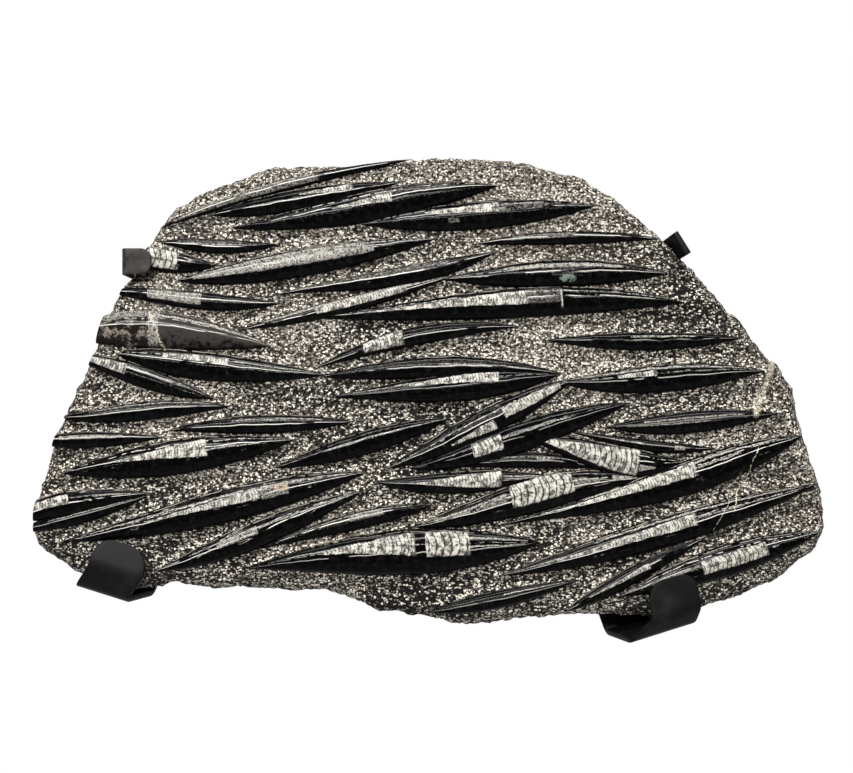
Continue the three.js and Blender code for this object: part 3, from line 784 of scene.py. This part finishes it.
# %% Shells: stretch the spheres
SEGMENTS, RINGS = 28, 72
DEPTH = 2.5  # how far a shell goes on into the rock, in mm
CHAMBER = 0.32  # a chamber's length against the cone's width
LEAST_CHAMBER = 2.2  # and never shorter than this, in mm
CONES, BANDS = 2, 3  # the most marks of each kind on one shell
UNUSED = (2, 3, 0, 1, 1)  # a mark that lies past the end of the shell


def add_shell(bm, index, spindle):
    """Adds one shell to bm, with what its finish needs to know stored on its vertices."""
    part = bmesh.new()
    bmesh.ops.create_uvsphere(part, u_segments=SEGMENTS, v_segments=RINGS, radius=1)
    ball = np.array([v.co for v in part.verts])
    t = (1 - ball[:, 2]) / 2
    ring = np.maximum(np.hypot(ball[:, 0], ball[:, 1]), 1e-6)
    v, up = ball[:, 0] / ring, ball[:, 1] / ring
    poles = ring < 1e-4
    v[poles], up[poles] = 0, 0
    top, bottom = spindle.sides(t)
    across = (top + bottom) / 2 + v * (top - bottom) / 2
    height = spindle.height(t)
    lift = np.where(up > 0, height * np.abs(up) ** 0.85, up * np.minimum(height, DEPTH))
    plan = spindle.left + np.outer(t * spindle.length, spindle.along)
    plan += np.outer(across, spindle.across)
    for vert, (x, z), rise in zip(part.verts, plan, lift):
        place = Vector((x, SHELL_FOOT - rise, z))
        wave = 0.28 * noise.noise(place / 13) + 0.12 * noise.noise(place / 5)
        vert.co = place + Vector((0, -wave, wave)) * min(1.0, rise if rise > 0 else 0)
    store_facts(part, index, spindle, t, v, (top - bottom).max() / 2)
    trim(part, spindle)
    bmesh.ops.recalc_face_normals(part, faces=part.faces)
    made = bpy.data.meshes.new("shell")
    part.to_mesh(made)
    part.free()
    bm.from_mesh(made)
    bpy.data.meshes.remove(made)


def store_facts(part, index, spindle, t, v, half_width):
    """Stores on every vertex where it lies on its shell, and what that shell is like."""
    mood = (index, spindle.marks.get("lines", 0), spindle.marks.get("brown", 0))
    stored = [part.verts.layers.float_vector.new(name) for name in ("place", "mood")]
    girth = part.verts.layers.float.new("girth")
    for vert, end_to_end, side_to_side in zip(part.verts, t, v):
        vert[stored[0]] = (end_to_end, side_to_side, end_to_end * spindle.length)
        vert[stored[1]] = mood
        vert[girth] = float(half_width)
    for kind, count in (("cone", CONES), ("band", BANDS)):
        rows = spindle.marks.get(kind + "s", [])
        for slot in range(count):
            t0, t1, mid, half0, half1, *rest = rows[slot] if slot < len(rows) else UNUSED
            span = part.verts.layers.float_vector.new(f"{kind}_{slot}_span")
            size = part.verts.layers.float_vector.new(f"{kind}_{slot}_size")
            above, below = spindle.sides(np.array((t0 + t1) / 2))
            width = float(above - below) * (half0 + half1) / 2
            chambers = (t1 - t0) * spindle.length / max(CHAMBER * width, LEAST_CHAMBER)
            for vert in part.verts:
                vert[span] = (t0, t1, mid)
                vert[size] = (half0, half1, rest[0] if rest else chambers)


def trim(part, spindle):
    """Cuts off an end that runs past the edge of the stone."""
    steps = np.linspace(0, 1, 200)
    line = spindle.left + np.outer(steps * spindle.length, spindle.along)
    inside, spots, outward = nearest_edge(line)
    for end in (0, -1):
        if inside[end] < -1.0:
            walk = inside if end == 0 else inside[::-1]
            first = int(np.argmax(walk > 0))
            at = first if end == 0 else len(steps) - 1 - first
            spot, out = spots[at], outward[at]
            geometry = [*part.verts, *part.edges, *part.faces]
            bmesh.ops.bisect_plane(
                part, geom=geometry, dist=1e-4, clear_outer=True,
                plane_co=(spot[0] - out[0], 0, spot[1] - out[1]), plane_no=(out[0], 0, out[1]),
            )
            open_rim = [e for e in part.edges if e.is_boundary]
            bmesh.ops.holes_fill(part, edges=open_rim, sides=0)


shells = bmesh.new()
for number, spindle in enumerate(spindles):
    add_shell(shells, number, spindle)
print("Shells:", len(shells.faces), "faces, closed:", all(e.is_manifold for e in shells.edges))

# %% [markdown]
# ## The shells' finish
# The polish is nearly black, with a faint cloudiness. A mark is found from the shell's own
# coordinates, t along it and v across it, so that the mark turns and tapers with its shell. Inside a
# cone the chamber walls are drawn as thin dark arcs, evenly spaced, with the dark line of the siphon
# tube through them. The thin white lines follow the shell: they are the level lines of a noise that
# is stretched along it. In real polished stone the marks lie flush, so they are colour, not relief.

# %% Shell finish: where a mark lies, and a cone's chambers
CHAMBER_PALE, CHAMBER_GREY = (0.44, 0.42, 0.375, 1), (0.075, 0.069, 0.062, 1)
CHAMBER_WALL = (0.012, 0.0115, 0.011, 1)
STAINS = [  # place and reach in mm: a greenish patch and a rusty one
    ((103, 91), 9, (0.15, 0.18, 0.16, 1)),
    ((-111, -65), 8, (0.34, 0.25, 0.16, 1)),
]


def mark(f, name, t, v, rough):
    """A mask for one mark, where it lies along the mark (0 to 1) and across it (-1 to 1)."""
    span = f.parts(f.attribute(name + "_span"))
    size = f.parts(f.attribute(name + "_size"))
    along = f.maths("DIVIDE", f.minus(t, span["X"]), f.minus(span["Y"], span["X"]))
    half = f.plus(size["X"], f.times(along, f.minus(size["Y"], size["X"])))
    across = f.maths("DIVIDE", f.minus(v, span["Z"]), half)
    frayed = f.plus(along, f.times(rough, 0.12))
    ends = f.times(f.step(frayed, 0.0, 0.02), f.step(frayed, 1.0, 0.97))
    beside = f.step(f.plus(f.maths("ABSOLUTE", across), rough), 1.08, 0.92)
    return f.times(ends, beside), along, across, size["Z"]


def chambered(f, along, across, chambers, wander, clouds, white):
    """The colour inside a cone: pale chambers between dark walls, with a dark tube through them."""
    arc = f.times(across, across, 0.5)
    count = f.plus(f.times(along, chambers), f.plus(arc, f.times(wander, 0.3)))
    wall = f.step(f.off(f.maths("FRACT", count), 0.5), 0.15, 0.07)
    wall = f.times(wall, f.step(clouds, 0.30, 0.45), 0.92)
    tube = f.step(f.off(across, -0.12), 0.09, 0.03)
    tube = f.times(tube, f.step(clouds, 0.4, 0.55), 0.7)
    number = f.maths("FLOOR", f.plus(count, 0.5))
    chamber = f.node("ShaderNodeTexWhiteNoise", {"W": number}, noise_dimensions="1D")
    mottle = f.plus(f.times(chamber.outputs["Value"], 0.07), clouds)
    filled = f.blend(f.step(mottle, 0.58, 0.42), white, CHAMBER_PALE)
    filled = f.blend(f.step(mottle, 0.57, 0.68), filled, CHAMBER_GREY)
    return f.blend(f.maths("MAXIMUM", wall, tube), filled, CHAMBER_WALL)


print("Marks:", CONES, "cones and", BANDS, "bands at the most, and", len(STAINS), "stains")

# %% Shell finish: the lines that follow a shell
# The first grey is painted sheen for the shells' upper side.
PAINTED_SHEEN_GREY, LINE_WHITE = (0.12, 0.11, 0.10, 1), (0.50, 0.48, 0.44, 1)
# The rim grey is partly the shell's grey edge and partly a painted highlight.
RIM_GREY_AND_PAINTED_HIGHLIGHT = (0.20, 0.18, 0.155, 1)
RIDGE_WHITE, RIDGE_DULL = (0.62, 0.60, 0.55, 1), (0.52, 0.50, 0.46, 1)


def streaked(f, colour, place, mood, girth, clouds):
    """A painted sheen, grey and streaky, high on the shell, and thin white lines. Also returns the
    noise they follow.
    """
    streaks = mood["Y"]
    stretched = f.node("ShaderNodeCombineXYZ")
    f.plug(stretched.inputs["X"], f.times(place["Z"], 0.022))
    f.plug(stretched.inputs["Y"], f.times(place["Y"], girth, 0.11))
    f.plug(stretched.inputs["Z"], f.times(mood["X"], 7.3))
    stretched = stretched.outputs["Vector"]
    streaky = f.step(f.noise(stretched, 7.0, 4, 0.7), 0.48, 0.62)
    # Painted sheen: grey on each shell's upper side stands in for the top lamp's reflection.
    painted_sheen = f.times(streaky, f.plus(0.02, f.times(streaks, 0.18)))
    painted_sheen = f.times(f.step(place["Y"], 0.3, 0.95), painted_sheen)
    colour = f.blend(painted_sheen, colour, PAINTED_SHEEN_GREY)
    flow = f.noise(stretched, 1.6, 2, 0.6)
    level = f.off(f.maths("FRACT", f.times(flow, 4.0)), 0.5)
    patchy = f.step(f.noise(stretched, 2.6, 2), 0.46, 0.38)
    chosen = f.step(f.plus(f.times(streaks, 0.5), f.minus(clouds, 0.5)), 0.22, 0.44)
    lines = f.times(f.step(level, 0.08, 0.035), patchy, chosen)
    lines = f.times(lines, f.step(girth, 5, 9), f.step(place["Y"], -0.45, 0.0))
    return f.blend(f.times(lines, 0.8), colour, LINE_WHITE), flow


def ridged(f, colour, position, place, mood, girth, clouds, flow):
    """Three ridges from point to point: the upper rim, partly painted highlight, and two at a height of
    each shell's own.
    """
    bend = f.times(f.minus(f.noise(position, 45, 2), 0.5), 0.3)
    own = f.node("ShaderNodeTexWhiteNoise", {"W": mood["X"]}, noise_dimensions="1D")
    inner = f.minus(f.times(own.outputs["Value"], 0.45), 0.05)
    seen = f.step(mood["Y"], -0.25, 0.6)
    ridges = (  # middle, half width in mm, what breaks it up and where, colour, the least girth
        (0.92, 0.45, clouds, 0.42, RIM_GREY_AND_PAINTED_HIGHLIGHT, 7),
        (inner, 0.5, flow, 0.40, RIDGE_WHITE, 4),
        (f.plus(inner, 0.34), 0.4, clouds, 0.47, RIDGE_DULL, 10),
    )
    for middle, width, gate, threshold, tint, least in ridges:
        away = f.times(f.off(f.plus(place["Y"], bend), middle), girth)
        unbroken = f.step(gate, threshold, threshold + 0.05)
        ridge = f.times(f.step(away, width, width * 0.35), unbroken)
        ridge = f.times(ridge, f.step(girth, least - 2, least + 1), seen)
        colour = f.blend(ridge, colour, tint)
    return colour


print("Lines and ridges ready")

# %% Shell finish: the polish and its marks
POLISH_BLACK, POLISH_CLOUD = (0.0012, 0.0012, 0.0014, 1), (0.006, 0.0056, 0.0052, 1)
MARBLE_DARK, MARBLE_TAN = (0.008, 0.007, 0.006, 1), (0.16, 0.14, 0.118, 1)
WEATHERED = (0.032, 0.029, 0.026, 1)
MARK_DARK, MARK_WHITE = (0.05, 0.047, 0.043, 1), (0.38, 0.362, 0.322, 1)


def polished_fossil():
    f = Finish("polished_fossil")
    position = f.place()
    place = f.parts(f.attribute("place"))
    mood = f.parts(f.attribute("mood"))
    girth = f.attribute("girth", "Fac")
    wander = f.minus(f.noise(position, 160, 3, 0.6), 0.5)
    t = f.plus(place["X"], f.times(wander, 0.012))
    v = f.plus(place["Y"], f.times(wander, 0.25))
    grain = f.noise(position, 700, 4, 0.65)
    clouds = f.noise(position, 240, 3, 0.6)

    # Black limestone, a little cloudy. A brown shell is browner above and marbled at its left end.
    colour = f.blend(f.step(clouds, 0.45, 0.75), POLISH_BLACK, POLISH_CLOUD)
    brown = mood["Z"]
    browned = f.times(brown, f.step(f.plus(clouds, f.times(place["Y"], 0.25)), 0.15, 0.50))
    colour = f.blend(f.times(browned, 0.9), colour, WEATHERED)
    marbled = f.step(f.plus(f.noise(position, 130, 4, 0.65), f.times(grain, 0.4)), 0.70, 0.84)
    left_end = f.times(brown, f.step(place["X"], 0.44, 0.36))
    colour = f.blend(left_end, colour, f.blend(marbled, MARBLE_DARK, MARBLE_TAN))
    colour, flow = streaked(f, colour, place, mood, girth, clouds)
    colour = ridged(f, colour, position, place, mood, girth, clouds, flow)

    # The shell's own calcite marks, then the stains and the veins, which run over everything.
    white = f.blend(f.step(grain, 0.38, 0.6), MARK_DARK, MARK_WHITE)
    rough = f.times(f.minus(grain, 0.5), 0.8)
    for slot in range(BANDS):
        mask, _, _, strength = mark(f, f"band_{slot}", t, v, rough)
        mottled = f.times(mask, f.step(f.plus(grain, f.times(strength, 0.5)), 0.55, 0.85))
        colour = f.blend(f.times(mottled, strength), colour, white)
    for slot in range(CONES):
        mask, along, across, chambers = mark(f, f"cone_{slot}", t, v, f.times(rough, 0.4))
        inside = chambered(f, along, across, chambers, wander, clouds, white)
        colour = f.blend(mask, colour, inside)
    for spot, reach, tint in STAINS:
        stained = f.step(f.near(position, spot, reach, 2), 0.1, 0.4)
        colour = f.blend(f.times(stained, f.step(clouds, 0.36, 0.52), 0.8), colour, tint)
    colour = veined(f, position, colour, grain)

    f.plug(f.shader.inputs["Base Color"], colour)
    f.plug(f.shader.inputs["Roughness"], f.plus(0.05, f.times(clouds, 0.08)))
    f.shader.inputs["Specular IOR Level"].default_value = 0.05
    f.bump(f.plus(clouds, f.times(grain, 0.25)), 0.2, 0.3)
    return f.material


shell_piece = keep("fossil_shells", shells, polished_fossil(), "fossil_limestone")
print("Shell piece:", len(shell_piece.data.polygons), "faces")

# %% [markdown]
# ## The steel straps
# The bracket is bent from flat bar. A strap is first a strip of faces on the bar's outer side: each
# station of its route has a left and a right point, and the strip runs through them with rounded
# bends. Then the strip gets its thickness and its edges a small bevel, as a file leaves them. Blocks
# joined at the bends would be simpler, but real flat bar is bent cold and keeps its thickness.

# %% Straps: the route
BAR_THICK = 5.0
CLIP_THICK = 4.0


def rounded_route(stations, setback, steps=8):
    """Walks the stations, each a left and a right point, and rounds every bend."""
    route = [np.array(s, float).ravel() for s in stations]
    walked = [route[0]]
    for before, here, after in zip(route, route[1:], route[2:]):
        start, end = (
            here + leg * min(setback / np.linalg.norm(leg[:3]), 0.48)
            for leg in (before - here, after - here)
        )
        for i in range(steps + 1):
            u = i / steps
            walked.append((1 - u) ** 2 * start + 2 * u * (1 - u) * here + u * u * end)
    walked.append(route[-1])
    return walked


def tongue(route, radius, steps=7):
    """Replaces the route's first stretch by a rounded end."""
    first, second = route[0], route[1]
    reach = np.linalg.norm((second - first)[:3])
    ends = []
    for i in range(steps + 1):
        q = radius * (1 - math.cos(math.pi / 2 * i / steps))
        inset = radius - math.sqrt(max(0.0, radius**2 - (radius - q) ** 2))
        here = first + (second - first) * min(1.0, q / reach)
        left, right = here[:3], here[3:]
        side = (right - left) / np.linalg.norm(right - left)
        ends.append(np.concatenate((left + side * inset, right - side * inset)))
    return ends + route[1:]


def bevelled(bm, sharpest, size):
    """Breaks every edge that turns by more than sharpest degrees."""
    sharp = [e for e in bm.edges if e.calc_face_angle(0) > math.radians(sharpest)]
    bmesh.ops.bevel(bm, geom=sharp, offset=size, offset_type="OFFSET", segments=2, profile=0.5,
                    affect="EDGES", clamp_overlap=True, material=-1)


def strap(route, thickness, inner, columns=10):
    """A bar whose outer face follows the route. Its body lies on the side of the point inner."""
    bm = bmesh.new()
    bmesh.ops.create_grid(bm, x_segments=columns, y_segments=len(route) - 1, size=1)
    for vert in bm.verts:
        station = route[round((vert.co.y + 1) / 2 * (len(route) - 1))]
        share = (vert.co.x + 1) / 2
        vert.co = Vector(station[:3]).lerp(Vector(station[3:]), share)
    bm.normal_update()
    face = max(bm.faces, key=lambda f: f.calc_area())
    if face.normal.dot(Vector(inner) - face.calc_center_median()) > 0:
        bmesh.ops.reverse_faces(bm, faces=bm.faces)
    bmesh.ops.solidify(bm, geom=bm.faces, thickness=thickness)
    bmesh.ops.recalc_face_normals(bm, faces=bm.faces)
    bevelled(bm, 60, 0.7)
    return bm


print("Strap helpers ready")

# %% Straps: the lower hooks
HOOKS = {  # each station is how far out from the seat, its depth y, and its left and right side
    "lower_left_hook": dict(
        seat=(-238, -136), tilt=-17.5, lean=20, top=118, corner=14,
        stations=[(-31, -56, -19, 19), (-9, -61, -18.5, 23),
                  (11.5, -55, -25, 15), (11.5, -5.3, -16, 24)],
    ),
    "lower_right_hook": dict(
        seat=(172, -162), tilt=17.5, lean=-20, top=72, corner=13,
        stations=[(-27, -62, -3.5, 33.5), (0, -64, -7, 30),
                  (12.2, -57, -26.5, 22.5), (12.2, -5.3, -38, 2)],
    ),
}
BAR_WIDTH = 40


def hook_route(seat, tilt, lean, top, corner, stations):
    """From the lip's rounded end, under the stone and up its back to the top of the upright."""
    angle = math.radians(tilt)
    across = np.array((math.cos(angle), math.sin(angle)))
    down = np.array((math.sin(angle), -math.cos(angle)))
    route = []
    for out, y, left, right in stations:
        points = [np.array(seat) + side * across + out * down for side in (left, right)]
        route.append([(x, y, z) for x, z in points])
    foot = (np.array(route[-1][0]) + np.array(route[-1][1])) / 2
    head = np.array((foot[0] + (top - foot[2]) * math.tan(math.radians(lean)), foot[1], top))
    half = BAR_WIDTH / 2 * np.array((across[0], 0, across[1]))
    route.append([head - half, head + half])
    return tongue(rounded_route(route, 7), corner)


STONE_HEART = (0, -28, 0)
straps = {name: strap(hook_route(**facts), BAR_THICK, STONE_HEART) for name, facts in HOOKS.items()}
for name, bm in straps.items():
    print(name, "reaches down to", round(min(v.co.z for v in bm.verts), 1), "mm")

# %% Straps: the upper clips
CLIP_WIDTH = 19
CLIP_BACK = -1


def clip_route(points, setback):
    """A clip's route from its side view, points of (x, y), as wide as the bar."""
    half = CLIP_WIDTH / 2
    return rounded_route([[(x, y, -half), (x, y, half)] for x, y in points], setback)


def place_clip(route, turn, move):
    """Turns a clip's route on the face of the stone, in degrees, and moves it to its place."""
    about = Matrix.Rotation(math.radians(turn), 3, "Y")
    placed = []
    for station in route:
        left, right = (about @ Vector(point) + Vector(move) for point in (station[:3], station[3:]))
        placed.append(np.concatenate((left, right)))
    return placed


left = clip_route([(-207.6, -59), (-229.6, -59), (-229.6, CLIP_BACK), (-122, CLIP_BACK)], 6)
left = tongue(place_clip(left, 0, (0, 0, 103)), 7)
right = clip_route([(0, -60), (0, CLIP_BACK), (-155, CLIP_BACK)], 6)
right = place_clip(right, -32, (188.7, 0, 117.4))
straps["upper_left_clip"] = strap(left, CLIP_THICK, STONE_HEART)
straps["upper_right_clip"] = strap(right, CLIP_THICK, STONE_HEART)
print("Straps:", list(straps))

# %% [markdown]
# ## The steel's finish
# The straps are powder coated in satin black. The coat has a faint orange peel and a few dull,
# greyer rubs, which show as changes of gloss more than of colour. Round the upper left clip the
# coat is paler and brown in patches.


# %% Steel finish
COAT_BLACK, COAT_GREY = (0.0028, 0.0028, 0.0029, 1), (0.008, 0.008, 0.0083, 1)
COAT_PALE_BROWN = (0.060, 0.052, 0.046, 1)
LEFT_CLIP = (-226, 103)


def black_powder_coat():
    f = Finish("black_powder_coat")
    place = f.place()
    peel = f.noise(place, 1500, 2)
    rubs = f.noise(place, 60, 4, 0.6)
    colour = f.blend(f.step(rubs, 0.45, 0.75), COAT_BLACK, COAT_GREY)
    # Round the upper left clip the coat is paler and brown in patches.
    pale_brown_patches = f.times(f.near(place, LEFT_CLIP, 45), f.step(rubs, 0.25, 0.60), 0.9)
    colour = f.blend(pale_brown_patches, colour, COAT_PALE_BROWN)
    f.plug(f.shader.inputs["Base Color"], colour)
    f.plug(f.shader.inputs["Roughness"], f.plus(0.38, f.times(rubs, 0.22)))
    f.shader.inputs["Specular IOR Level"].default_value = 0.11
    f.bump(peel, 0.08, 0.5)
    return f.material


steel_finish = black_powder_coat()
for name, bm in straps.items():
    keep(name + "_strap", bm, steel_finish, "black_steel", [name])
print("Straps kept")

# %% [markdown]
# ## The wall bar and the bolts
# The bar that carries the bracket is a length of the same flat bar, and eight countersunk bolts hold
# the straps to it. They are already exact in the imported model, so each is taken as a copy: its loose
# triangles are merged, flat neighbours are joined, and its sharp edges are broken with a small bevel,
# as a file or a bolt maker's die would. The bolts are bare, blackened steel and shine a little more.


# %% Bolt finish
BOLT_DARK, BOLT_WORN = (0.02, 0.02, 0.021, 1), (0.09, 0.088, 0.085, 1)


def blackened_bolt():
    f = Finish("blackened_bolt")
    worn = f.noise(f.place(), 400, 3, 0.6)
    f.plug(f.shader.inputs["Base Color"], f.blend(f.step(worn, 0.45, 0.7), BOLT_DARK, BOLT_WORN))
    f.shader.inputs["Metallic"].default_value = 1.0
    f.plug(f.shader.inputs["Roughness"], f.plus(0.25, f.times(worn, 0.25)))
    f.bump(worn, 0.05, 0.4)
    return f.material


bolt_finish = blackened_bolt()
print("Finishes:", steel_finish.name, bolt_finish.name)


# %% Wall bar and bolts
def softened(node, size):
    """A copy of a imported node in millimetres, merged, with its sharp edges bevelled."""
    bm = bmesh.new()
    bm.from_mesh(node.data)
    bmesh.ops.transform(bm, matrix=node.matrix_world, verts=bm.verts)
    bmesh.ops.scale(bm, vec=(1 / MM, 1 / MM, 1 / MM), verts=bm.verts)
    bmesh.ops.remove_doubles(bm, verts=bm.verts, dist=0.001)
    bmesh.ops.dissolve_limit(bm, angle_limit=math.radians(1), verts=bm.verts, edges=bm.edges)
    bevelled(bm, 35, size)
    bmesh.ops.recalc_face_normals(bm, faces=bm.faces)
    return bm


BOLT_KIND, BAR_KIND = (0.25, bolt_finish, "bolt_steel"), (0.6, steel_finish, "black_steel")
FLATS_TO = 18  # degrees; flat faces stay flat beside their rounded edges
for name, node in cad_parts.items():
    if not node.hide_render:
        size, finish, slot = BOLT_KIND if "bolt" in name else BAR_KIND
        keep(name + "_softened", softened(node, size), finish, slot, [name], FLATS_TO)
shown = [name for name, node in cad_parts.items() if not node.hide_render]
print("Nodes of the packed model that still show:", shown)

# %% [markdown]
# ## The floor
# The plaque hangs on a wall, so the floor is far below it and out of sight from the front. A plain
# pale disc is enough. It shines a little of itself, because no lamp is aimed at it.

# %% Floor
FLOOR_LEVEL, FLOOR_RADIUS = -1.3, 2.6  # in metres
floor = bmesh.new()
bmesh.ops.create_circle(floor, cap_ends=True, segments=96, radius=FLOOR_RADIUS)
bmesh.ops.translate(floor, verts=floor.verts, vec=(0, 0, FLOOR_LEVEL))
floor_mesh = bpy.data.meshes.new("floor")
floor.to_mesh(floor_mesh)
floor.free()
floor_piece = bpy.data.objects.new("floor", floor_mesh)
bpy.context.scene.collection.objects.link(floor_piece)
pale = Finish("pale_floor")
pale.shader.inputs["Base Color"].default_value = (0.8, 0.8, 0.79, 1)
pale.shader.inputs["Roughness"].default_value = 0.9
pale.shader.inputs["Emission Color"].default_value = (1, 1, 1, 1)
pale.shader.inputs["Emission Strength"].default_value = 0.5
floor_mesh.materials.append(pale.material)
print("Floor made")
